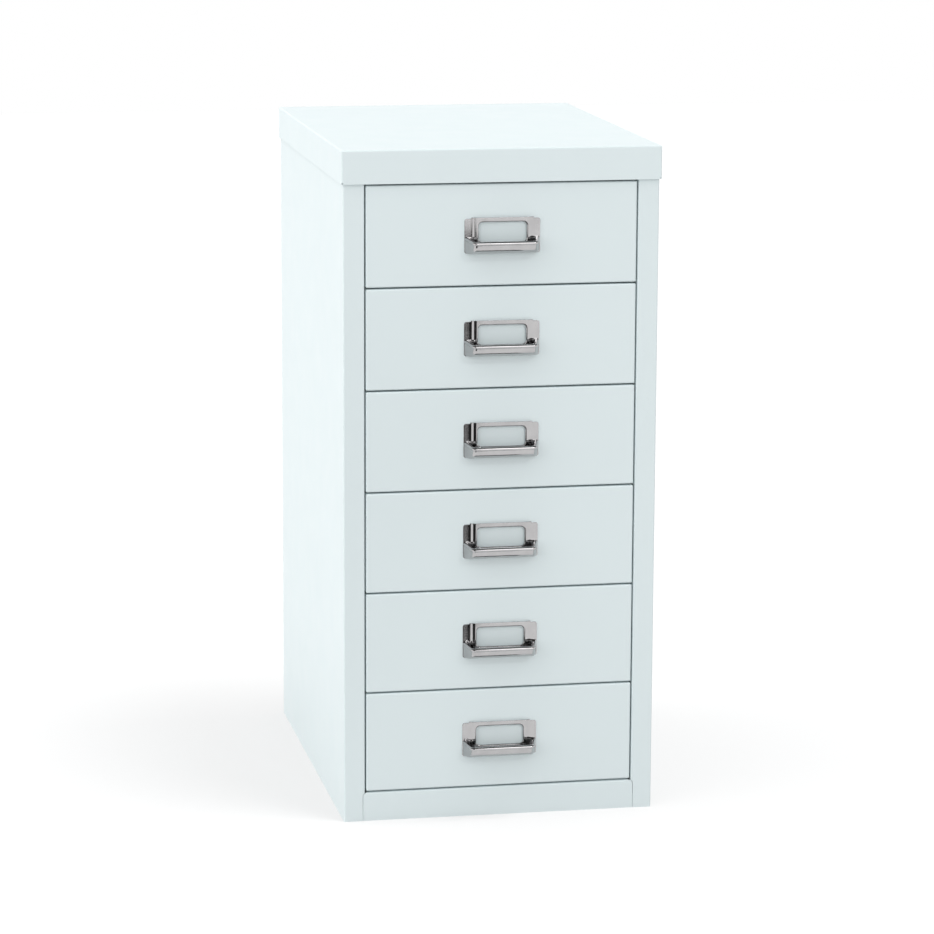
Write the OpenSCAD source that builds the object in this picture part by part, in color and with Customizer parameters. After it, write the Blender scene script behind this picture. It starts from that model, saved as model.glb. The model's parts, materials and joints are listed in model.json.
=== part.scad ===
// Small steel drawer cabinet with six equal drawers and card-holder pulls.
// The carcass is folded and welded sheet: two side panels with front stiles, a back, a base,
// a bottom and a top rail, and a cap that fits over them. Each drawer is a folded tray hung by
// its out-turned hooks in a pair of channel runners, with a folded front and a pressed pull.
// Millimetres. The origin is the middle of the footprint, on the floor. The front faces -Y,
// +X is to the right of someone facing the cabinet, and +Z is up. Drawer 1 is the top one.

/* [Cabinet] */
// Overall width, over the cap
cab_w = 279; // [260:1:340]
// Overall depth, over the cap and without the pulls
cab_d = 380; // [360:1:460]
// Overall height
cab_h = 590; // [540:1:700]
// Sheet thickness of the carcass
sheet = 0.8; // [0.6:0.1:1]
// Inside radius of every fold
bend_in = 0.6; // [0.4:0.1:0.8]

/* [Top cap] */
// Height of the cap's skirt
cap_h = 29; // [24:0.5:40]
// How far the cap stands out past each side panel
cap_side = 1.5; // [1.2:0.1:3]
// How far the cap stands out in front of the stiles
cap_front = 2.5; // [2:0.1:4]
// How far the cap stands out behind the back
cap_back = 1.5; // [1.2:0.1:3]
// Height of the hem folded up inside the cap's front skirt
cap_hem = 8; // [4:0.5:12]
// Size of the relief cut at the skirt's two lower front corners
cap_relief = 1.5; // [1:0.1:3]

/* [Carcass] */
// Width of the front stile on each side panel
stile_w = 18.5; // [16:0.5:24]
// Depth of the lip folded back beside the drawers
stile_lip = 10; // [6:0.5:12]
// Width of the flange folded in at the rear of each side panel
rear_flange = 15; // [10:0.5:25]
// Width of the flanges that carry the cap
top_flange = 12; // [8:0.5:16]
// Height of the flange round the base panel
base_flange = 12; // [8:0.5:16]
// Height of the bottom rail
rail_h = 25.5; // [20:0.5:40]
// Depth of the bottom and top rails
rail_d = 20; // [14:0.5:30]
// Height of the lip folded down inside the bottom rail
rail_lip = 8; // [5:0.5:12]
// How far the bottom rail lies behind the stiles' faces
rail_recess = 0.5; // [0.3:0.1:0.8]
// How far the bottom rail reaches into a notch in each stile
rail_lap = 1.7; // [1:0.1:4]
// Radius of the bottom rail's upper corners
rail_corner = 3.5; // [2:0.1:5]
// Open seam between the bottom rail and the stiles
seam = 0.3; // [0.2:0.1:0.5]
// Height of the top rail's lower edge over the cap's lower edge
top_rail_up = 1; // [0.5:0.1:3]

/* [Drawer fronts] */
// Gap above and below each drawer front
front_gap = 1.5; // [1:0.1:2.5]
// Gap at each side of a drawer front
side_gap = 1.2; // [1:0.1:2]
// Depth of a folded drawer front
front_d = 14; // [12:0.5:20]

/* [Drawer trays] */
// Sheet thickness of the trays
tray_sheet = 0.6; // [0.5:0.1:0.8]
// Gap between a drawer's rear shoes and the back panel
tray_back = 12.4; // [8:0.1:20]
// Height of a tray's underside over its front's lower edge
tray_up = 4; // [3:0.5:8]
// Depth of a tray's upper edge below its front's upper edge
tray_down = 6; // [5:0.5:10]
// Clearance between a tray's hooks and the sides of the opening
hook_side = 1.5; // [1.2:0.1:2]
// Width of the out-turned hook along each side of a tray
hook_w = 8.5; // [7.5:0.5:10]
// Height of a hook's down-turned edge
hook_h = 9; // [8:0.5:11]
// Width of the safe edge folded back along a tray's rear wall
tray_lip = 6; // [3:0.5:8]
// Clearance round a tray's front wall inside the drawer front
wall_gap = 0.3; // [0.3:0.05:0.5]
// How far a drawer pulls out
travel = 270; // [200:1:275]

/* [Runners] */
// Sheet thickness of the runners
runner_sheet = 0.8; // [0.6:0.1:1]
// Clearance between a tray's wall and its runner
runner_side = 1.7; // [1.2:0.1:2]
// Running clearance under a drawer
run_gap = 0.3; // [0.2:0.05:0.4]
// Clearance over a drawer's hooks
keep_gap = 0.7; // [0.5:0.1:1.5]
// How much shorter the runner's upper leg is than its lower one
keep_short = 2; // [0:0.5:4]
// Depth of the lip folded down along a runner's edge
runner_lip = 5; // [3:0.5:8]
// Gap between the runners and the back panel
runner_back = 4; // [2:0.5:10]
// Thickness of the nylon glides
glide_t = 1; // [0.8:0.1:1.5]
// Width of the nylon glide at a runner's front end
glide_w = 8; // [6:0.5:10]
// Length of that glide along the runner
glide_len = 12; // [8:0.5:20]
// Clearance between a glide's end wall and the runner's end
glide_r = 0.3; // [0.2:0.05:0.4]
// Length of the nylon shoe inside a hook's rear end
shoe_len = 22; // [15:0.5:30]
// Thickness of the shoe's end plate
shoe_cap = 2; // [1.5:0.1:3]
// Clearance between a shoe and the hook's folds
shoe_side = 0.1; // [0.05:0.05:0.3]
// Gap between a closed drawer front and the glides
close_gap = 0.5; // [0.4:0.1:1]
// Gap left between a shoe and its stop tongue when the drawer is fully out
stop_gap = 0.5; // [0.3:0.1:1]
// Length of the stop tongue raised from a runner
stop_len = 14; // [10:0.5:20]
// Width of that tongue
stop_w = 3; // [2:0.1:4]
// Height of the tongue's free end over the runner's ledge
stop_rise = 3.5; // [2:0.1:5]
// Clear slot round the tongue
stop_slot = 0.4; // [0.3:0.1:0.8]

/* [Pulls] */
// Width of a pull
pull_w = 66; // [60:0.5:80]
// Height of a pull
pull_h = 31; // [28:0.5:38]
// Sheet thickness of a pull
pull_sheet = 0.8; // [0.6:0.1:1]
// How far a pull's middle lies below its drawer front's middle
pull_down = 0.5; // [0:0.5:4]
// Width of the flat flange at each side of the card frame
pull_flange = 5.8; // [5:0.1:8]
// Width of the slope from a flange out to the card frame
slope_run = 3.4; // [1.5:0.1:4]
// Depth of the flanges' upper edges below the card frame's
pull_step = 1; // [0.5:0.1:3]
// Card space between the frame and the drawer front
card_gap = 2; // [1:0.1:2.5]
// Radius of a pull's four corners
pull_corner = 2; // [0.5:0.1:3]
// Width of the card window
window_w = 42; // [34:0.5:44]
// Height of the card window
window_h = 17; // [12:0.5:18]
// Radius of the window's corners
window_r = 3.5; // [2:0.1:5]
// Height of the frame over the window
window_top = 4; // [3:0.5:7]
// How far the finger lip stands out from the drawer front
lip_out = 18; // [14:0.5:22]
// How far each end of the lip's edge lies inside the pull's side
lip_inset = 4.5; // [3:0.1:9]
// Radius of the lip's two front corners in plan
lip_corner = 4.5; // [4.2:0.1:6]
// Height of the lip's edge over the pull's lower edge
lip_rise = 12; // [9:0.5:13]
// How much higher the lip's ends meet the plate
lip_ends = 2.5; // [1:0.5:6]
// Squareness of the lip's wall in section: 2 is an ellipse, and higher is fuller
lip_swell = 2.5; // [2:0.1:3.5]
// Radius of the bead rolled along the lip's edge
bead_r = 1.7; // [1.2:0.1:2]
// Height of each fixing tab
tab_h = 5; // [4:0.5:6]
// Length of a fixing tab folded over behind the drawer front
tab_len = 5; // [3:0.5:8]
// Height of the fixing tabs over and under the pull's middle
tab_z = 9; // [7:0.5:10]
// How far the fixing tabs lie inside the pull's ends, so that the flanges cover their slots
tab_in = 0.6; // [0.4:0.1:1]
// Clearance round a fixing tab in its slot
tab_gap = 0.2; // [0.1:0.05:0.4]

/* [Hidden] */
$fn = 48;
drawer_n = 6;
drawers = [1:drawer_n];
sides = ["left", "right"];

paint = [0.86, 0.91, 0.92];
inner_paint = [0.80, 0.85, 0.87];
plated = [0.72, 0.72, 0.73];
nylon = [0.93, 0.93, 0.90];

// How far a cut runs past the face it opens
past = 1;

// The carcass under the cap
half_w = cab_w / 2 - cap_side;
body_d = cab_d - cap_front - cap_back;
front_y = -body_d / 2;
back_y = body_d / 2;
inner_x = half_w - sheet;
body_top = cab_h - sheet;
cap_z = cab_h - cap_h;
open_x = half_w - stile_w;
back_inner_y = back_y - 2 * sheet;

// The drawer fronts
front_h = (cap_z - rail_h - (drawer_n + 1) * front_gap) / drawer_n;
front_x = open_x - side_gap;
function front_z(k) = rail_h + front_gap + (drawer_n - k) * (front_h + front_gap);

// The trays, with each hook's upper face at hook_z
tray_y = front_y + front_d;
tray_end = back_inner_y - tray_back - shoe_cap;
hook_x = open_x - hook_side;
tray_x = hook_x - hook_w;
function tray_z(k) = front_z(k) + tray_up;
function hook_z(k) = front_z(k) + front_h - tray_down;

// The runners, with each ledge's upper face at ledge_z
edge_x = tray_x + runner_side;
runner_y = tray_y + close_gap + glide_t + glide_r;
runner_end = back_inner_y - runner_back;
function shoe_z(k) = hook_z(k) - hook_h - glide_t;
function ledge_z(k) = shoe_z(k) - run_gap;
stop_y = tray_end - shoe_len - travel - stop_gap;
stop_x = hook_x - tray_sheet - stop_w - 2 * stop_slot;

// The pulls
frame_out = card_gap + pull_sheet;
curl = 2 * bead_r - pull_sheet;
wall_out = lip_out - curl;
lip_edge = lip_rise - bead_r - pull_h / 2;
tab_x = pull_w / 2 - tab_in;
function pull_z(k) = front_z(k) + front_h / 2 - pull_down;

// Lays a section drawn in X and Z along Y
module along_y(from, to) {
    translate([0, to, 0]) rotate([90, 0, 0]) linear_extrude(to - from) children();
}

// Lays a section drawn in Y and Z along X
module along_x(from, to) {
    translate([from, 0, 0]) rotate([90, 0, 90]) linear_extrude(to - from) children();
}

// Draws the left side's copy of what is drawn for the right side
module on_side(side) {
    mirror([side == "left" ? 1 : 0, 0, 0]) children();
}

// The section of a sheet folded at right angles. The points are the corners of the face that lies
// to the right as they are followed, and the sheet lies to the left of them.
module folded(points, t) {
    last = len(points) - 1;
    for (i = [0:last - 1]) {
        head = i == 0 ? 0 : fold_back(points, i, t);
        tail = i == last - 1 ? 0 : fold_back(points, i + 1, t);
        run = norm(points[i + 1] - points[i]) - head - tail;
        translate(points[i]) rotate(heading(points, i)) translate([head, 0]) square([run, t]);
    }
    for (i = [1:last - 1]) {
        back = fold_back(points, i, t);
        centre = points[i] + back * (unit(points, i) - unit(points, i - 1));
        translate(centre) rotate(heading(points, i - 1)) fold(t, turns_left(points, i));
    }
}

// A quarter of a ring, below the X axis for a left turn and above it for a right turn
module fold(t, left) {
    outer = bend_in + t;
    intersection() {
        difference() {
            circle(outer);
            circle(bend_in);
        }
        translate([0, left ? -outer : 0]) square(outer);
    }
}

function unit(p, i) = (p[i + 1] - p[i]) / norm(p[i + 1] - p[i]);
function heading(p, i) = atan2(unit(p, i).y, unit(p, i).x);
function turns_left(p, i) = cross(unit(p, i - 1), unit(p, i)) > 0;
function fold_back(p, i, t) = turns_left(p, i) ? bend_in + t : bend_in;

// A rectangle about the origin with round corners
module round_rect(w, h, r) {
    square([w, h - 2 * r], center = true);
    square([w - 2 * r, h], center = true);
    for (x = [-1, 1], y = [-1, 1]) translate([x * (w / 2 - r), y * (h / 2 - r)]) circle(r);
}

// A rectangle standing on the X axis with its two upper corners round
module round_top(w, h, r) {
    translate([-w / 2, 0]) square([w, h - r]);
    translate([r - w / 2, 0]) square([w - 2 * r, h]);
    for (x = [-1, 1]) translate([x * (w / 2 - r), h - r]) circle(r);
}

// A block on the XY plane with its upper and upright edges round
module round_block(w, d, h, r) {
    intersection() {
        linear_extrude(h) round_rect(w, d, r);
        along_y(-d / 2, d / 2) round_top(w, h, r);
        along_x(-w / 2, w / 2) round_top(d, h, r);
    }
}

// A tray of folded sheet, upside down: its face is on top and it is open below
module pan(w, d, h, t) {
    difference() {
        round_block(w, d, h, bend_in + t);
        translate([0, 0, -past]) round_block(w - 2 * t, d - 2 * t, h - t + past, bend_in);
    }
}

module top_cap() {
    hem_x = cab_w / 2 - cap_relief - seam;
    cap_y = front_y - cap_front;
    color(paint) {
        difference() {
            translate([0, cap_y + cab_d / 2, cap_z]) pan(cab_w, cab_d, cap_h, sheet);
            for (x = [-1, 1]) translate([x * cab_w / 2, cap_y, cap_z])
                cube([2 * cap_relief, 2 * (bend_in + sheet), 2 * cap_relief], center = true);
        }
        translate([-hem_x, cap_y + sheet, cap_z]) cube([2 * hem_x, sheet, cap_hem]);
    }
}

module side_panel(side) {
    notch_x = open_x + rail_lap + seam;
    notch_z = rail_h + seam;
    flange_y = front_y + rail_d + bend_in;
    flange_end = back_inner_y - top_flange - bend_in;
    color(paint) on_side(side) {
        difference() {
            linear_extrude(body_top) folded([
                [open_x, front_y + stile_lip],
                [open_x, front_y],
                [half_w, front_y],
                [half_w, back_y],
                [half_w - rear_flange, back_y]
            ], sheet);
            along_y(front_y - past, front_y + stile_lip + past)
                round_top(2 * notch_x, notch_z, rail_corner + seam);
        }
        translate([half_w - top_flange, flange_y, body_top - sheet])
            cube([top_flange - sheet / 2, flange_end - flange_y, sheet]);
    }
}

module back_panel() {
    panel_x = inner_x - bend_in - seam;
    color(paint) along_x(-panel_x, panel_x) folded([
        [back_y - sheet, 0],
        [back_y - sheet, body_top],
        [back_inner_y - top_flange, body_top]
    ], sheet);
}

module base_panel() {
    base_y = front_y + rail_recess + sheet;
    base_d = back_inner_y - base_y;
    color(inner_paint) translate([0, base_y + base_d / 2, base_flange]) mirror([0, 0, 1])
        pan(2 * inner_x, base_d, base_flange, sheet);
}

module bottom_rail() {
    rail_x = open_x + rail_lap;
    rail_y = front_y + rail_recess;
    flange_x = rail_x - rail_corner;
    color(paint) {
        along_y(rail_y, rail_y + sheet) difference() {
            round_top(2 * rail_x, rail_h, rail_corner);
            translate([-flange_x, rail_h - bend_in - sheet])
                square([2 * flange_x, bend_in + sheet + past]);
        }
        along_x(-flange_x, flange_x) folded([
            [rail_y + sheet, rail_h - 2 * (bend_in + sheet)],
            [rail_y + sheet, rail_h - sheet],
            [rail_y + rail_d - sheet, rail_h - sheet],
            [rail_y + rail_d - sheet, rail_h - rail_lip]
        ], sheet);
    }
}

module top_rail() {
    rail_z = cap_z + top_rail_up;
    color(paint) along_x(-open_x, open_x) folded([
        [front_y + rail_d, body_top],
        [front_y, body_top],
        [front_y, rail_z],
        [front_y + rail_d, rail_z]
    ], sheet);
}

// A C-section channel: a ledge for the drawer's hook and shoe, and a shorter leg over the hook
// that keeps the drawer level when it is out. A tongue raised from the ledge stops the shoe.
module runner(side, k) {
    z = ledge_z(k);
    top_z = hook_z(k) + keep_gap + runner_sheet;
    below_z = z - runner_sheet;
    tongue_y = stop_y - stop_len;
    color(inner_paint) on_side(side) {
        difference() {
            along_y(runner_y, runner_end) folded([
                [edge_x + runner_sheet, z - runner_lip],
                [edge_x + runner_sheet, below_z],
                [inner_x, below_z],
                [inner_x, top_z],
                [edge_x + keep_short, top_z]
            ], runner_sheet);
            translate([stop_x - stop_slot, tongue_y, below_z - past])
                cube([stop_w + 2 * stop_slot, stop_len + stop_slot, runner_sheet + 2 * past]);
        }
        along_x(stop_x, stop_x + stop_w) polygon([
            [tongue_y - past, below_z],
            [tongue_y, below_z],
            [stop_y, below_z + stop_rise],
            [stop_y, z + stop_rise],
            [tongue_y, z],
            [tongue_y - past, z]
        ]);
    }
}

// One nylon clip over the front end of every runner on a side, under the drawers' hooks
module runner_glides(side) {
    clip_x = hook_x - tray_sheet / 2 - glide_w / 2;
    clip_y = runner_y - glide_r - glide_t;
    color(nylon) on_side(side) for (k = drawers) {
        z = ledge_z(k);
        below_z = z - runner_sheet;
        translate([clip_x, clip_y, below_z - glide_t]) difference() {
            cube([glide_w, glide_t + glide_r + glide_len, runner_sheet + 2 * glide_t]);
            translate([-past, glide_t, glide_t])
                cube([glide_w + 2 * past, glide_r + glide_len + past, runner_sheet]);
        }
    }
}

// A shallow folded box, open behind, with four slots for the pull's tabs
module drawer_front(k) {
    color(paint) difference() {
        translate([0, tray_y, front_z(k) + front_h / 2]) rotate([90, 0, 0])
            pan(2 * front_x, front_h, front_d, sheet);
        for (x = [-1, 1], z = [-1, 1])
            translate([x * (tab_x - pull_sheet / 2), front_y + sheet / 2, pull_z(k) + z * tab_z])
                cube([pull_sheet + 2 * tab_gap, sheet + 2 * past, tab_h + 2 * tab_gap], center = true);
    }
}

// The base, the two sides and their hooks are one folded section. The front wall closes the
// drawer front behind, and the rear wall ends in a safe edge.
module drawer_tray(k) {
    t = tray_sheet;
    z = tray_z(k);
    top_z = hook_z(k);
    hook_end = top_z - hook_h;
    wall_x = front_x - sheet - wall_gap;
    wall_z = front_z(k) + sheet + wall_gap;
    wall_h = front_h - 2 * (sheet + wall_gap);
    color(inner_paint) {
        along_y(tray_y - t, tray_end) folded([
            [t - hook_x, hook_end],
            [t - hook_x, top_z - t],
            [-tray_x, top_z - t],
            [-tray_x, z],
            [tray_x, z],
            [tray_x, top_z - t],
            [hook_x - t, top_z - t],
            [hook_x - t, hook_end]
        ], t);
        translate([-wall_x, tray_y - t, wall_z]) cube([2 * wall_x, t, wall_h]);
        along_x(t - tray_x, tray_x - t) folded([
            [tray_end, z + t / 2],
            [tray_end, top_z - t],
            [tray_end + tray_lip, top_z - t]
        ], t);
    }
}

// Nylon blocks plugged into the rear ends of the two hooks: they run on the ledges
module drawer_shoes(k) {
    z = shoe_z(k);
    shoe_x = tray_x + bend_in + shoe_side;
    shoe_w = hook_w - tray_sheet - 2 * (bend_in + shoe_side);
    color(nylon) for (side = sides) on_side(side) {
        translate([shoe_x, tray_end - shoe_len, z])
            cube([shoe_w, shoe_len, hook_z(k) - tray_sheet - z]);
        translate([tray_x, tray_end, z]) cube([hook_w, shoe_cap, hook_z(k) - z]);
    }
}

// The plan of the finger lip, out from the drawer front: straight ends that draw in, and round
// front corners. It is drawn in all round by a margin, for the wall and for the hollow in it.
module lip_plan(margin) {
    slant = atan(lip_inset / lip_out);
    root_x = pull_w / 2 - margin / cos(slant);
    out = lip_out - margin;
    tip_x = root_x - out * tan(slant);
    r = lip_corner - margin;
    back = r / tan((90 + slant) / 2);
    side = [tip_x + back * sin(slant), back * cos(slant) - out];
    polygon([
        [-root_x, 0],
        [root_x, 0],
        side,
        [tip_x - back, -out],
        [back - tip_x, -out],
        [-side.x, side.y]
    ]);
    for (x = [-1, 1]) translate([x * (tip_x - back), r - out]) circle(r);
}

// The lip's wall in section, from its edge down and back to the plate's lower edge
function lip_wall(margin) = let (low = margin - pull_h / 2) [
    for (a = [0:10:90]) [
        (margin - wall_out) * pow(cos(a), 2 / lip_swell),
        lip_edge - (lip_edge - low) * pow(sin(a), 2 / lip_swell)
    ]
];

// The side view of the finger lip. Its edge climbs from the front to the plate
module lip_side(margin, over) {
    polygon(concat(lip_wall(margin), [
        [0, lip_edge + lip_ends + over],
        if (over > 0) [margin - wall_out, lip_edge + over]
    ]));
}

// The block that the finger lip's wall encloses, drawn in by a margin
module lip_shell(margin, over) {
    intersection() {
        translate([0, 0, -pull_h / 2]) linear_extrude(pull_h) lip_plan(curl + margin);
        along_x(-pull_w / 2, pull_w / 2) lip_side(margin, over);
    }
}

// The bead rolled along the lip's edge, in the plane that climbs from the front to the plate
module lip_bead() {
    out = lip_out - bead_r;
    tilt = atan(lip_ends / out);
    slant = atan(lip_inset / lip_out);
    r = lip_corner - bead_r;
    back = r / tan((90 + slant) / 2);
    tip_x = pull_w / 2 - bead_r / cos(slant) - out * tan(slant);
    side_run = norm([out * tan(slant), out]) - back;
    translate([0, -out, lip_edge]) rotate([tilt, 0, 0]) {
        rotate([0, 90, 0]) cylinder(h = 2 * (tip_x - back), r = bead_r, center = true);
        for (x = [0, 1]) mirror([x, 0, 0]) {
            translate([tip_x - back, r, 0]) rotate([0, 0, -90])
                rotate_extrude(angle = 90 - slant) translate([r, 0]) circle(bead_r);
            translate([tip_x + back * sin(slant), back * cos(slant), 0])
                rotate([-90, 0, -slant]) cylinder(h = side_run, r = bead_r);
        }
    }
}

// The plate in plan: a flat flange at each side and a frame that stands off for the card
module pull_plan() {
    half = pull_w / 2;
    step_x = half - pull_flange;
    frame_x = step_x - slope_run;
    bend = pull_sheet * tan(atan(card_gap / slope_run) / 2);
    right = [
        [half, 0],
        [step_x, 0],
        [frame_x, -card_gap]
    ];
    front = [
        [frame_x + bend, -frame_out],
        [step_x + bend, -pull_sheet],
        [half, -pull_sheet]
    ];
    left = [for (i = [2:-1:0]) [-right[i].x, right[i].y]];
    left_front = [for (i = [2:-1:0]) [-front[i].x, front[i].y]];
    polygon(concat(right, left, left_front, front));
}

// The front view of a pull, laid through its whole depth
module pull_outline() {
    step_x = pull_w / 2 - pull_flange;
    along_y(-lip_out - past, past) {
        translate([0, -pull_step / 2]) round_rect(pull_w, pull_h - pull_step, pull_corner);
        translate([-step_x, 0]) square([2 * step_x, pull_h / 2]);
    }
}

// The card frame and finger lip, pressed from one sheet, with four tabs folded over behind
module drawer_pull(k) {
    window_z = pull_h / 2 - window_top - window_h / 2;
    color(plated) translate([0, front_y, pull_z(k)]) {
        difference() {
            intersection() {
                translate([0, 0, -pull_h / 2]) linear_extrude(pull_h) pull_plan();
                pull_outline();
            }
            along_y(-frame_out - past, past) translate([0, window_z])
                round_rect(window_w, window_h, window_r);
        }
        difference() {
            lip_shell(0, 0);
            lip_shell(pull_sheet, lip_rise);
        }
        intersection() {
            lip_bead();
            translate([-pull_w / 2, -lip_out, -pull_h / 2]) cube([pull_w, lip_out, pull_h]);
        }
        for (x = [0, 1], z = [-1, 1]) mirror([x, 0, 0]) translate([tab_x, 0, z * tab_z]) {
            translate([-pull_sheet, -pull_sheet, -tab_h / 2])
                cube([pull_sheet, sheet + 2 * pull_sheet, tab_h]);
            translate([-tab_len, sheet, -tab_h / 2]) cube([tab_len, pull_sheet, tab_h]);
        }
    }
}

top_cap();
side_panel("left");  // side_panel_left
side_panel("right");  // side_panel_right
back_panel();
base_panel();
bottom_rail();
top_rail();
runner_glides("left");  // runner_glides_left
runner_glides("right");  // runner_glides_right
for (side = sides, k = drawers)
    runner(side, k);
for (k = drawers) {
    drawer_front(k);
    drawer_tray(k);
    drawer_pull(k);
    drawer_shoes(k);
}
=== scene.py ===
import json
import math

import bmesh
import bpy
from mathutils import Matrix, Vector


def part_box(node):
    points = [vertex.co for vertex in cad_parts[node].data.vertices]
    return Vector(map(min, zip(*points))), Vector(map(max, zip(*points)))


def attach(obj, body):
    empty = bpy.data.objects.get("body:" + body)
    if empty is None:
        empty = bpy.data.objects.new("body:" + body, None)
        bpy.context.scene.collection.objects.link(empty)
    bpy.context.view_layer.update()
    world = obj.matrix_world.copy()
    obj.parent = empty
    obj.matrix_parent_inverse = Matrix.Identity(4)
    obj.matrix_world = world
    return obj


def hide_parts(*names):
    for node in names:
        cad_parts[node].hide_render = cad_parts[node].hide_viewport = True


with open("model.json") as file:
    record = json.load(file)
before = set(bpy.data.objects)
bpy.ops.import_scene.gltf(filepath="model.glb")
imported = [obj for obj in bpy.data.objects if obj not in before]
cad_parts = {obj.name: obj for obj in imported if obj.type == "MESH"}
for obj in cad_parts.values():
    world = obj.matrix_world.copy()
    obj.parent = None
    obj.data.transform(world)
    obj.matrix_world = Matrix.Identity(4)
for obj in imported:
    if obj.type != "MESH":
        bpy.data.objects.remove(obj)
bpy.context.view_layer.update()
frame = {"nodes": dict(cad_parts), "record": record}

# A narrow steel desk cabinet: pale ice-blue powder coat, six flush drawers, and a plated
# card-holder pull on each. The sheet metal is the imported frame's own. The pulls are modelled here.
# Metres, +Z up, the drawers face -Y.

scene = bpy.context.scene
drawerCount = 6
hair = 1e-6  # metres, within which two places are the same


outerPaint = {
    "colour": (0.795, 0.885, 0.900),
    "colourDrift": 0.012,  # how much darker the coat's thin places are
    "driftSize": 0.16,
    "roughness": 0.42,
    "roughnessDrift": 0.06,
    "roughnessFiner": 6,  # how many times finer than the colour it drifts
    "peelSize": 0.0021,  # one bump of the orange peel
    "peelDepth": 0.000008,
}
innerPaint = {
    "colour": (0.770, 0.855, 0.870),
    "colourDrift": 0.05,
    "driftSize": 0.07,
    "roughness": 0.50,
    "roughnessDrift": 0.10,
    "roughnessFiner": 6,
    "peelSize": 0.0015,
    "peelDepth": 0.000014,
}


def startMaterial(name):
    material = bpy.data.materials.new(name)
    material.use_nodes = True
    nodes, links = material.node_tree.nodes, material.node_tree.links
    return material, nodes, links, nodes["Principled BSDF"]


def noise(nodes, links, place, size, detail=2.0):
    node = nodes.new("ShaderNodeTexNoise")
    node.inputs["Scale"].default_value = 1 / size
    node.inputs["Detail"].default_value = detail
    links.new(place, node.inputs["Vector"])
    return node.outputs["Fac"]


def mapRange(nodes, links, value, start, end, low, high, kind="LINEAR"):
    node = nodes.new("ShaderNodeMapRange")
    node.interpolation_type = kind
    node.inputs["From Min"].default_value = start
    node.inputs["From Max"].default_value = end
    node.inputs["To Min"].default_value = low
    node.inputs["To Max"].default_value = high
    links.new(value, node.inputs["Value"])
    return node.outputs["Result"]


def spread(nodes, links, value, low, high):
    return mapRange(nodes, links, value, 0.3, 0.7, low, high)  # nearly all of a noise lies in 0.3 to 0.7


def tint(nodes, links, factor, colourA, colourB):
    node = nodes.new("ShaderNodeMix")
    node.data_type = "RGBA"
    node.inputs["A"].default_value = (*colourA, 1)
    node.inputs["B"].default_value = (*colourB, 1)
    links.new(factor, node.inputs["Factor"])
    return node.outputs["Result"]


def bump(nodes, links, shader, height, depth):
    node = nodes.new("ShaderNodeBump")
    node.inputs["Strength"].default_value = 1
    node.inputs["Distance"].default_value = depth
    links.new(height, node.inputs["Height"])
    links.new(node.outputs["Normal"], shader.inputs["Normal"])


def objectPlace(nodes, links, stretch=(1, 1, 1)):
    place = nodes.new("ShaderNodeTexCoord").outputs["Object"]
    if stretch == (1, 1, 1):
        return place
    node = nodes.new("ShaderNodeMapping")
    node.inputs["Scale"].default_value = stretch
    links.new(place, node.inputs["Vector"])
    return node.outputs["Vector"]


def powderCoat(name, look):
    material, nodes, links, shader = startMaterial(name)
    place = objectPlace(nodes, links)
    drift = spread(nodes, links, noise(nodes, links, place, look["driftSize"], 3), 0, 1)
    thin = tuple(c * (1 - look["colourDrift"]) for c in look["colour"])
    links.new(tint(nodes, links, drift, look["colour"], thin), shader.inputs["Base Color"])
    rough = noise(nodes, links, place, look["driftSize"] / look["roughnessFiner"], 4)
    low, high = look["roughness"] - look["roughnessDrift"], look["roughness"] + look["roughnessDrift"]
    links.new(spread(nodes, links, rough, low, high), shader.inputs["Roughness"])
    bump(nodes, links, shader, noise(nodes, links, place, look["peelSize"], 1), look["peelDepth"])
    return material


plating = {
    "colour": (0.505, 0.498, 0.501),
    "dull": (0.450, 0.443, 0.447),  # where the plating is thinner
    "dullSize": 0.012,
    "roughness": (0.06, 0.13),
    "lineLength": 0.010,  # the faint lines that polishing leaves along the pull
    "lineWidth": 0.00025,
    "lineDepth": 0.0000012,
}


def platedMetal(name, look):
    material, nodes, links, shader = startMaterial(name)
    place = objectPlace(nodes, links)
    dull = spread(nodes, links, noise(nodes, links, place, look["dullSize"], 3), 0, 1)
    links.new(tint(nodes, links, dull, look["colour"], look["dull"]), shader.inputs["Base Color"])
    shader.inputs["Metallic"].default_value = 1
    fine = 1 / look["lineWidth"]
    along = objectPlace(nodes, links, (1 / look["lineLength"], fine, fine))
    lines = noise(nodes, links, along, 1, 2)
    links.new(spread(nodes, links, lines, *look["roughness"]), shader.inputs["Roughness"])
    bump(nodes, links, shader, lines, look["lineDepth"])
    return material


nylon = {
    "colour": (0.80, 0.79, 0.74),
    "rubbed": (0.70, 0.69, 0.65),
    "rubSize": 0.004,
    "roughness": (0.42, 0.60),
    "grainSize": 0.0004,
    "grainDepth": 0.000010,
}


def mouldedNylon(name, look):
    material, nodes, links, shader = startMaterial(name)
    place = objectPlace(nodes, links)
    rub = spread(nodes, links, noise(nodes, links, place, look["rubSize"], 3), 0, 1)
    links.new(tint(nodes, links, rub, look["colour"], look["rubbed"]), shader.inputs["Base Color"])
    links.new(spread(nodes, links, rub, *look["roughness"]), shader.inputs["Roughness"])
    bump(nodes, links, shader, noise(nodes, links, place, look["grainSize"], 1), look["grainDepth"])
    return material


finishes = {
    "paint": powderCoat("powderCoat", outerPaint),
    "inner_paint": powderCoat("powderCoatInside", innerPaint),
    "plated": platedMetal("brightPlating", plating),
    "nylon": mouldedNylon("mouldedNylon", nylon),
}
slotOfNode = {s["node"]: s["material_slot"] for s in frame["record"]["subparts"]}
for nodeName, part in frame["nodes"].items():
    part.data.materials.clear()
    part.data.materials.append(finishes[slotOfNode[nodeName]])
print("finishes on", len(slotOfNode), "sheet-metal and nylon pieces")


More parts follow.
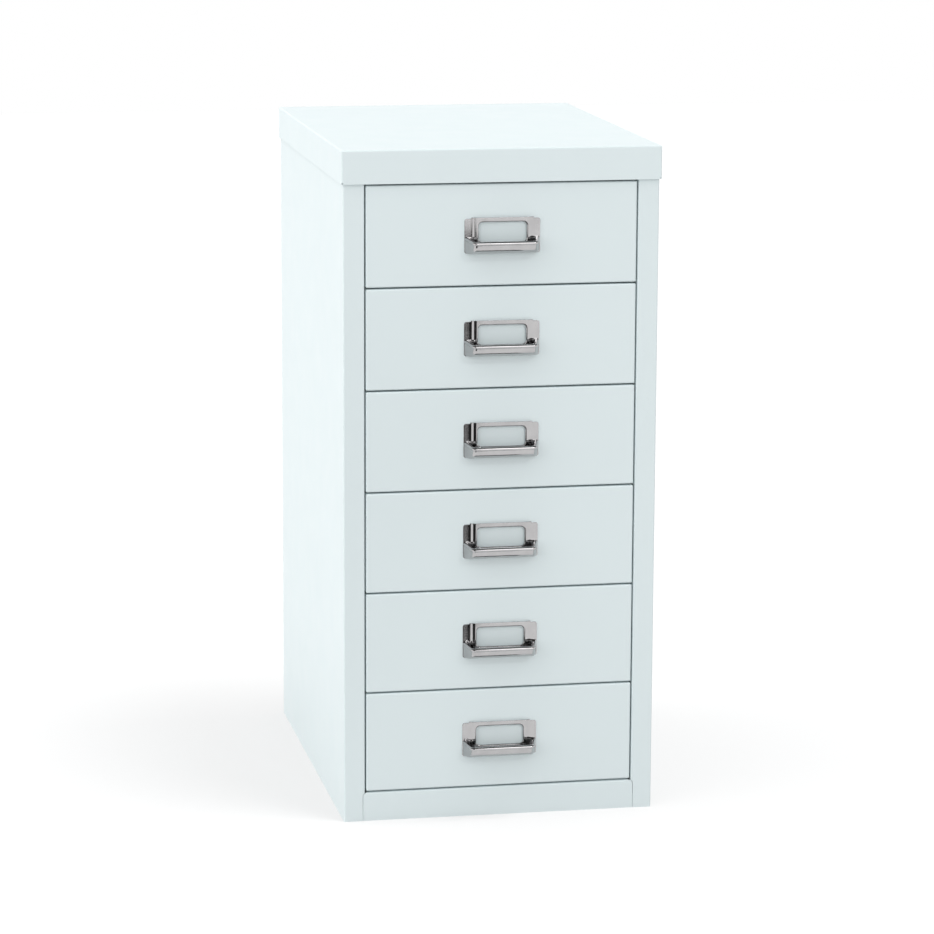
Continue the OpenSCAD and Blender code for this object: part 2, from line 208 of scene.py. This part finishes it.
pull = {
    "sheet": 0.0008,
    "flange": 0.0058,  # the flat strip at each side
    "slope": 0.0034,  # the pressed step from a strip out to the card frame
    "cardGap": 0.0020,
    "topStep": 0.0010,  # how far the strips' tops lie under the frame's
    "corner": 0.0020,
    "crease": 0.0014,  # rounding of the pressed creases
    "window": (0.042, 0.017),
    "windowCorner": 0.0035,
    "windowTop": 0.0040,
    "windowTurn": 0.0012,  # the window's edge is turned back, in this radius
    "windowDeep": 0.0015,
    "rim": 0.0120,  # the curled edge's top over the pull's lower edge
    "rimEnds": 0.0025,  # how much higher it meets the strips
    "rimInset": 0.0045,
    "rimCorner": 0.0045,
    "curl": 0.0017,
    "swell": 2.5,  # squareness of the lip's section
    "lipSteps": 12,
    "lipCorner": 0.0022,
    "lipEnds": 0.0002,  # how far the lip's wall starts inside the pull's ends
    "cutEdge": 0.00016,  # rounding of the sheet's cut edges
    "tabHeight": 0.0050,
    "tabLength": 0.0050,
    "tabPlace": 0.0090,
    "tabIn": 0.0006,  # the strips reach past the tabs and cover their slots
    "frontSheet": 0.0008,  # the drawer front that the tabs pass through
    "cutAngle": 60,  # degrees past which an edge of the sheet is a cut one
    "sharpest": 50,  # degrees past which an edge stays sharp
    "steps": {"cutEdge": 2, "windowCorner": 8, "windowTurn": 5, "crease": 4, "corner": 5, "lipCorner": 5,
              "curl": 24, "rimCorner": 8},
}


def pour(part, whole):
    mesh = bpy.data.meshes.new("pour")
    part.to_mesh(mesh)
    part.free()
    whole.from_mesh(mesh)
    bpy.data.meshes.remove(mesh)


def rectangle(bm, halfWidth, low, high, y):
    corners = [(-halfWidth, low), (halfWidth, low), (halfWidth, high), (-halfWidth, high)]
    return bm.faces.new([bm.verts.new((x, y, z)) for x, z in corners])


def pressOut(bm, edges, shift):
    grown = bmesh.ops.extrude_edge_only(bm, edges=edges)["geom"]
    verts = [g for g in grown if isinstance(g, bmesh.types.BMVert)]
    bmesh.ops.translate(bm, vec=shift, verts=verts)
    return [g for g in grown if isinstance(g, bmesh.types.BMEdge) and all(v in verts for v in g.verts)]


def roundOff(bm, geom, look, feature, affect="EDGES"):
    bmesh.ops.bevel(bm, geom=geom, offset=look[feature], offset_type="OFFSET", affect=affect,
                    segments=look["steps"][feature], profile=0.5, clamp_overlap=True, material=-1)


def roundCuts(bm, look):
    steep = math.radians(look["cutAngle"])
    cuts = [e for e in bm.edges if e.is_manifold and e.calc_face_angle() > steep]
    roundOff(bm, cuts, look, "cutEdge")


def cardFrame(look, width, height):
    bm = bmesh.new()
    y = -(look["cardGap"] + look["sheet"])
    frameX = width / 2 - look["flange"] - look["slope"]
    ringX = (frameX - look["crease"] + look["window"][0] / 2 + look["windowTurn"]) / 2
    ring = rectangle(bm, ringX, -height / 2, height / 2, y)
    outerCorners, outerEdges = ring.verts[:], ring.edges[:]
    windowHigh = height / 2 - look["windowTop"]
    window = rectangle(bm, look["window"][0] / 2, windowHigh - look["window"][1], windowHigh, y)
    roundOff(bm, window.verts[:], look, "windowCorner", "VERTICES")
    bmesh.ops.delete(bm, geom=bm.faces[:], context="FACES_ONLY")
    windowVerts = [v for v in bm.verts if v not in outerCorners]
    for corner in outerCorners:
        nearest = min(windowVerts, key=lambda v: (v.co - corner.co).length)
        bm.edges.new((corner, nearest))
    bmesh.ops.edgenet_fill(bm, edges=bm.edges[:])
    spare = [f for f in bm.faces if len(set(f.verts) & set(outerCorners)) != 2]
    bmesh.ops.delete(bm, geom=spare, context="FACES_ONLY")
    turned = [e for e in bm.edges if e.is_boundary and all(v in windowVerts for v in e.verts)]
    pressOut(bm, turned, (0, look["windowDeep"], 0))
    roundOff(bm, turned, look, "windowTurn")

    creases = []
    for side in (-1, 1):
        edge = [e for e in outerEdges if e.is_valid
                and all(v.co.x * side > ringX - hair for v in e.verts)]
        crease = pressOut(bm, edge, (side * (frameX - ringX), 0, 0))
        foot = pressOut(bm, crease, (side * look["slope"], look["cardGap"], 0))
        pressOut(bm, foot, (side * look["flange"], 0, 0))
        creases += crease + foot
    roundOff(bm, creases, look, "crease")
    stripX = width / 2 - look["flange"]
    strips = [f for f in bm.faces if all(abs(v.co.x) > stripX for v in f.verts)]
    geom = list({g for f in strips for g in [f, *f.edges, *f.verts]})
    cut = height / 2 - look["topStep"]
    bmesh.ops.bisect_plane(bm, geom=geom, plane_co=(0, 0, cut), plane_no=(0, 0, 1))
    middles = {f: f.calc_center_median() for f in bm.faces}
    above = [f for f, middle in middles.items() if abs(middle.x) > stripX and middle.z > cut]
    bmesh.ops.delete(bm, geom=above, context="FACES")
    ends = [v for v in bm.verts if abs(v.co.x) > width / 2 - hair]
    roundOff(bm, ends, look, "corner", "VERTICES")
    return bm


def fingerLip(look, width, height, out):
    bm = bmesh.new()
    hidden = 2 * look["curl"] - look["sheet"]  # how far the wall lies behind the curl's front
    wallOut = out - hidden
    low, edge = -height / 2, look["rim"] - look["curl"] - height / 2
    slant = math.atan(look["rimInset"] / out)
    overhang = hidden / math.cos(slant)
    halfWidth = width / 2 - look["lipEnds"]
    drawIn = (overhang - look["lipEnds"]) / wallOut + math.tan(slant)
    section = []
    for step in range(look["lipSteps"] + 1):
        turn = math.radians(90 * step / look["lipSteps"])
        back = max(math.cos(turn), 0) ** (2 / look["swell"])
        drop = math.sin(turn) ** (2 / look["swell"])
        section.append(bm.verts.new((-halfWidth, -wallOut * back, edge - (edge - low) * drop)))
    section.append(bm.verts.new((-halfWidth, 0, edge + look["rimEnds"])))
    sides = [bm.faces.new(section)]
    grown = bmesh.ops.extrude_face_region(bm, geom=sides, use_keep_orig=True)["geom"]
    verts = [g for g in grown if isinstance(g, bmesh.types.BMVert)]
    bmesh.ops.translate(bm, vec=(2 * halfWidth, 0, 0), verts=verts)
    bmesh.ops.recalc_face_normals(bm, faces=bm.faces[:])
    for v in bm.verts:
        v.co.x *= 1 + v.co.y * drawIn / halfWidth  # the sides draw in towards the front
        v.co.y = min(v.co.y, -look["sheet"] / 2)  # the skin ends inside the strips' thickness
    bm.normal_update()
    curve = [e for e in bm.edges if len({round(v.co.x > 0) for v in e.verts}) == 1
             and max(v.co.z for v in e.verts) < edge + hair and min(v.co.y for v in e.verts) < -hair]
    roundOff(bm, curve, look, "lipCorner")
    bm.normal_update()
    square = 0.8  # how squarely a face looks back or up, and only the two open sides do so this much
    openings = [f for f in bm.faces if f.normal.y > square
                or (f.normal.z > square and f.calc_center_median().z > edge - hair)]
    bmesh.ops.delete(bm, geom=openings, context="FACES")
    return bm


def curledEdge(look, width, height, out):
    bm = bmesh.new()
    curl, bend = look["curl"], look["rimCorner"] - look["curl"]
    slant, far = math.atan(look["rimInset"] / out), out - look["curl"]
    back = bend / math.tan((math.pi / 2 + slant) / 2)
    tipX = width / 2 - curl / math.cos(slant) - far * math.tan(slant)
    start = Matrix.Translation((0, -far, 0)) @ Matrix.Rotation(math.pi / 2, 4, "Y")
    ring = bmesh.ops.create_circle(bm, cap_ends=False, radius=curl, segments=look["steps"]["curl"],
                                   matrix=start)["verts"]
    edges = [e for e in bm.edges if all(v in ring for v in e.verts)]
    edges = pressOut(bm, edges, (tipX - back, 0, 0))
    turned = bmesh.ops.spin(bm, geom=edges + list({v for e in edges for v in e.verts}), axis=(0, 0, 1),
                            cent=(tipX - back, bend - far, 0), angle=math.pi / 2 - slant,
                            steps=look["steps"]["rimCorner"], dvec=(0, 0, 0),
                            use_duplicate=False)["geom_last"]
    edges = [g for g in turned if isinstance(g, bmesh.types.BMEdge)]
    run = math.hypot(far * math.tan(slant), far) - back - look["sheet"] / 2
    edges = pressOut(bm, edges, (run * math.sin(slant), run * math.cos(slant), 0))
    bmesh.ops.edgeloop_fill(bm, edges=edges)
    bmesh.ops.mirror(bm, geom=bm.verts[:] + bm.edges[:] + bm.faces[:], matrix=Matrix.Identity(4),
                     merge_dist=hair, axis="X")
    bmesh.ops.remove_doubles(bm, verts=bm.verts[:], dist=hair)
    bmesh.ops.recalc_face_normals(bm, faces=bm.faces[:])
    level = look["rim"] - curl - height / 2
    climb = math.atan(look["rimEnds"] / far)
    lean = Matrix.Translation((0, -far, level)) @ Matrix.Rotation(climb, 4, "X")
    bmesh.ops.transform(bm, matrix=lean @ Matrix.Translation((0, far, 0)), verts=bm.verts[:])
    return bm


def fixingTab(look, side, level, width):
    bm = bmesh.new()
    sheet, through = look["sheet"], look["frontSheet"]
    end = width / 2 - look["tabIn"]
    legs = [
        ((end - sheet, -sheet / 2), (end, through + sheet)),
        ((end - look["tabLength"], through), (end, through + sheet)),
    ]
    for low, high in legs:
        block = bmesh.ops.create_cube(bm, size=1)["verts"]
        size = (high[0] - low[0], high[1] - low[1], look["tabHeight"])
        bmesh.ops.scale(bm, vec=size, verts=block)
        middle = (side * (low[0] + high[0]) / 2, (low[1] + high[1]) / 2, level)
        bmesh.ops.translate(bm, vec=middle, verts=block)
    roundCuts(bm, look)
    return bm


def pressedPull(look, width, height, out):
    whole = bmesh.new()
    for sheetPart in (cardFrame(look, width, height), fingerLip(look, width, height, out)):
        bmesh.ops.solidify(sheetPart, geom=sheetPart.faces[:], thickness=look["sheet"])
        roundCuts(sheetPart, look)
        pour(sheetPart, whole)
    pour(curledEdge(look, width, height, out), whole)
    for side in (-1, 1):
        for level in (-look["tabPlace"], look["tabPlace"]):
            pour(fixingTab(look, side, level, width), whole)
    mesh = bpy.data.meshes.new("pressedPull")
    whole.to_mesh(mesh)
    whole.free()
    mesh.shade_smooth()
    mesh.set_sharp_from_angle(angle=math.radians(look["sharpest"]))
    mesh.materials.append(finishes["plated"])
    return mesh


def hangPulls(look):
    low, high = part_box("drawer_pull_1")
    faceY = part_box("drawer_front_1")[0][1]
    mesh = pressedPull(look, high[0] - low[0], high[2] - low[2], faceY - low[1])
    for number in range(1, drawerCount + 1):
        low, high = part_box(f"drawer_pull_{number}")
        own = mesh.copy()
        own.transform(Matrix.Translation((0, faceY, (low[2] + high[2]) / 2)))
        piece = bpy.data.objects.new(f"pressed_pull_{number}", own)
        scene.collection.objects.link(piece)
        steady = piece.modifiers.new("flatFaces", "WEIGHTED_NORMAL")
        steady.keep_sharp = True
        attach(piece, f"drawer_{number}")
        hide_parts(f"drawer_pull_{number}")


hangPulls(pull)
print("pulls on", drawerCount, "drawers")


studio = {
    "floorSize": 12,
    "floorColour": (0.35, 0.35, 0.35),
    "floorLift": 0.505,  # brings the lit floor up to the backdrop's white, for the eye and in metal
    "roundLight": 0.56,
    # Where on the sky each of these starts and ends, and how much light it adds or takes by then.
    "leftLight": (0.0, -1.0, 1.16),
    "frontLight": (-0.2, -1.0, -0.45),
    "topLight": (0.2, 1.0, 0.68),
    "ceiling": (0.30, 0.52, 0.92),  # taken from what metal shows alone
    "cardColour": (0.02, 0.02, 0.02),  # a black card in front that only the metal shows
    "cardAcross": (-0.420, 0.072),
    "cardHigh": 0.45,
    "cardPlace": -0.70,
}
lamps = {
    "frontLamp": {"from": (0.08, -0.975, 0.20), "strength": 0.56, "width": 34, "onFloor": False},
    "sideLamp": {"from": (0.36, -0.73, 0.58), "strength": 0.25, "width": 8, "onFloor": False},
    "floorLamp": {"from": (0.36, -0.20, 0.91), "strength": 1.72, "width": 29, "onFloor": True},
}


def setUp(name, bm, colour):
    mesh = bpy.data.meshes.new(name)
    bm.to_mesh(mesh)
    bm.free()
    item = bpy.data.objects.new(name, mesh)
    scene.collection.objects.link(item)
    material, nodes, links, shader = startMaterial(name)
    shader.inputs["Base Color"].default_value = (*colour, 1)
    shader.inputs["Roughness"].default_value = 1
    mesh.materials.append(material)
    return item, nodes, links, shader


def studioFloor(look):
    bm = bmesh.new()
    bmesh.ops.create_grid(bm, x_segments=1, y_segments=1, size=look["floorSize"] / 2)
    floor, nodes, links, shader = setUp("studioFloor", bm, look["floorColour"])
    shader.inputs["Specular IOR Level"].default_value = 0
    shader.inputs["Emission Color"].default_value = (1, 1, 1, 1)
    lift = calculate(nodes, links, "MULTIPLY", seenDirectly(nodes, links), look["floorLift"])
    links.new(lift, shader.inputs["Emission Strength"])
    return floor


def blackCard(look):
    left, right = look["cardAcross"]
    bm = bmesh.new()
    corners = [(left, 0), (right, 0), (right, look["cardHigh"]), (left, look["cardHigh"])]
    bm.faces.new([bm.verts.new((x, look["cardPlace"], z)) for x, z in corners])
    card = setUp("blackCard", bm, look["cardColour"])[0]
    card.visible_camera = card.visible_diffuse = card.visible_shadow = card.visible_transmission = False


def calculate(nodes, links, operation, *values):
    node = nodes.new("ShaderNodeMath")
    node.operation = operation
    for socket, value in zip(node.inputs, values):
        if isinstance(value, (int, float)):
            socket.default_value = value
        else:
            links.new(value, socket)
    return node.outputs["Value"]


def seenDirectly(nodes, links):
    rays = nodes.new("ShaderNodeLightPath").outputs
    either = calculate(nodes, links, "MAXIMUM", rays["Is Camera Ray"], rays["Is Glossy Ray"])
    return calculate(nodes, links, "MAXIMUM", either, rays["Is Transmission Ray"])


def hangLamp(name, look, floor):
    lamp = bpy.data.lights.new(name, "SUN")
    lamp.energy = look["strength"]
    lamp.angle = math.radians(look["width"])
    holder = bpy.data.objects.new(name, lamp)
    scene.collection.objects.link(holder)
    holder.rotation_euler = Vector(look["from"]).to_track_quat("Z", "Y").to_euler()
    group = bpy.data.collections.new(name)  # the floor has a lamp of its own, for a soft shadow
    group.objects.link(floor)
    group.collection_objects[0].light_linking.link_state = "INCLUDE" if look["onFloor"] else "EXCLUDE"
    holder.light_linking.receiver_collection = group


def studioWorld(look):
    world = bpy.data.worlds.new("studio")
    scene.world = world
    world.use_nodes = True
    nodes, links = world.node_tree.nodes, world.node_tree.links
    direction = nodes.new("ShaderNodeSeparateXYZ")
    links.new(nodes.new("ShaderNodeTexCoord").outputs["Generated"], direction.inputs["Vector"])

    def grow(axis, start, end, amount):
        return mapRange(nodes, links, direction.outputs[axis], start, end, 0, amount, "SMOOTHSTEP")

    light = look["roundLight"]
    for axis, side in (("X", "leftLight"), ("Y", "frontLight"), ("Z", "topLight")):
        light = calculate(nodes, links, "ADD", grow(axis, *look[side]), light)
    inMetal = nodes.new("ShaderNodeLightPath").outputs["Is Glossy Ray"]
    ceiling = calculate(nodes, links, "MULTIPLY", grow("Z", *look["ceiling"]), inMetal)
    backdrop = nodes.new("ShaderNodeMix")
    links.new(seenDirectly(nodes, links), backdrop.inputs["Factor"])
    links.new(light, backdrop.inputs["A"])
    links.new(calculate(nodes, links, "SUBTRACT", 1, ceiling), backdrop.inputs["B"])
    background = nodes["Background"]
    background.inputs["Color"].default_value = (1, 1, 1, 1)
    links.new(backdrop.outputs["Result"], background.inputs["Strength"])


scene.view_settings.view_transform = "Standard"
floor = studioFloor(studio)
blackCard(studio)
studioWorld(studio)
for name, look in lamps.items():
    hangLamp(name, look, floor)

viewpoint = {"place": (-0.620, -3.240, 0.932), "turn": (78.75, -0.25, -10.895), "lens": 141.2}
camera = bpy.data.objects.new("camera", bpy.data.cameras.new("camera"))
scene.collection.objects.link(camera)
camera.data.lens = viewpoint["lens"]
camera.location = viewpoint["place"]
camera.rotation_euler = [math.radians(a) for a in viewpoint["turn"]]
scene.camera = camera
print("floor, light and camera")
